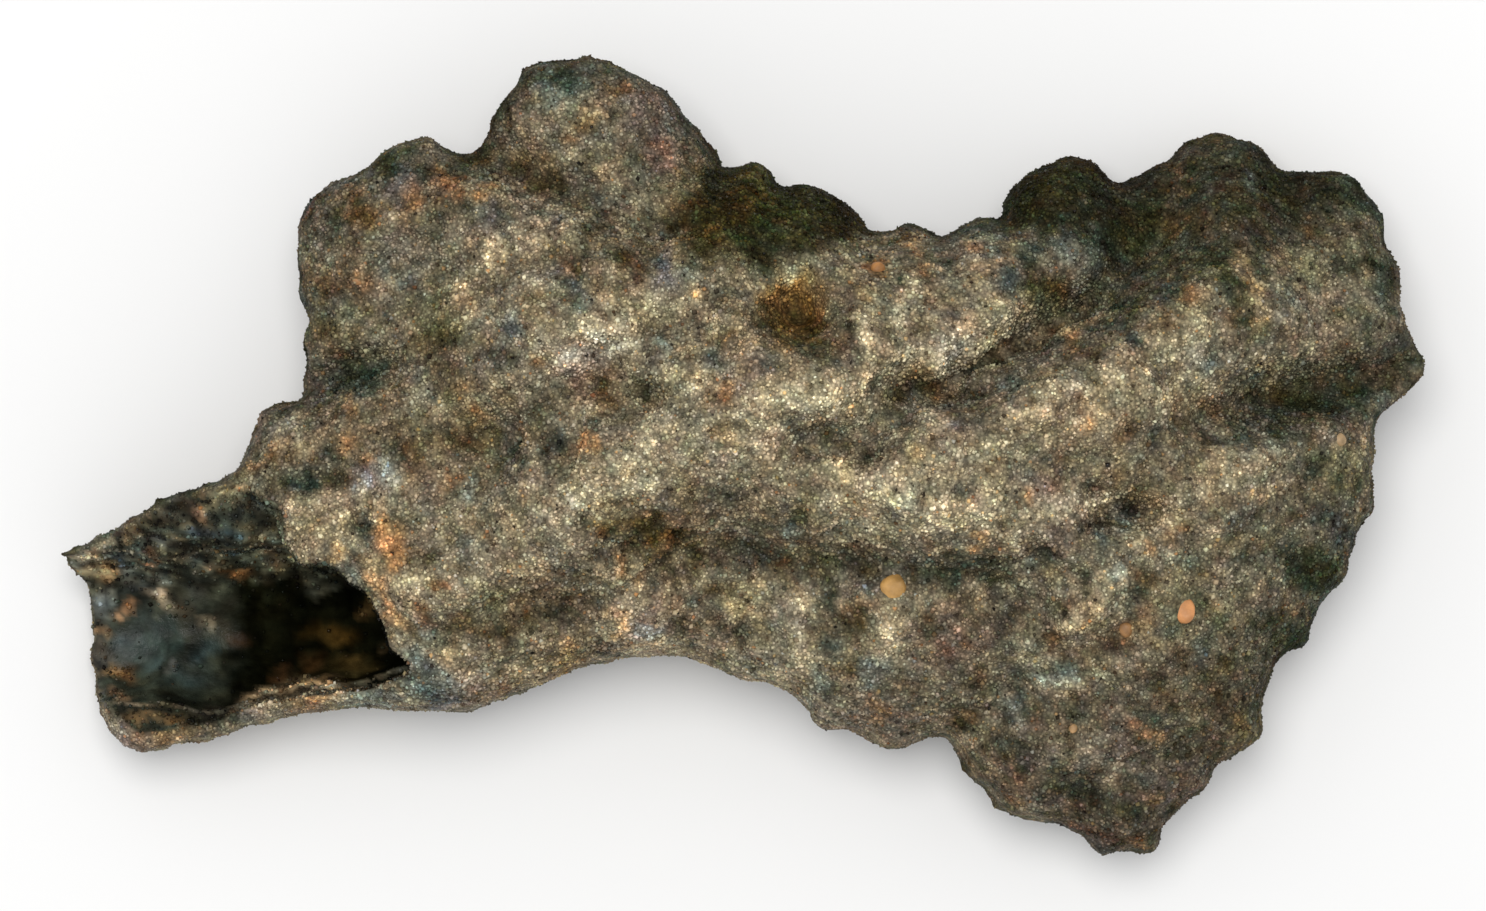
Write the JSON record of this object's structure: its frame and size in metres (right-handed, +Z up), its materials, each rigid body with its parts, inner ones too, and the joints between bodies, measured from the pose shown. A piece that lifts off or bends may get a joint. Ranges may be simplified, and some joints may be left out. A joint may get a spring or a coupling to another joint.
{
  "type": "fulgurite",
  "caption": "Flattened fulgurite fragment: a crooked sand-fused glass tube, broken open at one end, with broad crumpled wings.",
  "frame": {"origin": "centre of the bounding box's footprint, on the surface that the fragment lies on", "axes": "+X along the tube from its open mouth to its far tip, +Y towards the upper wing, +Z up from the surface it lies on"},
  "size_m": [0.0602, 0.0352, 0.0152],
  "materials": {
    "fused_sand": "rough fused quartz sand, tan to grey-brown, over dark glass in the bore"
  },
  "bodies": {
    "root": {"fulgurite": "fused_sand"}
  },
  "joints": []
}
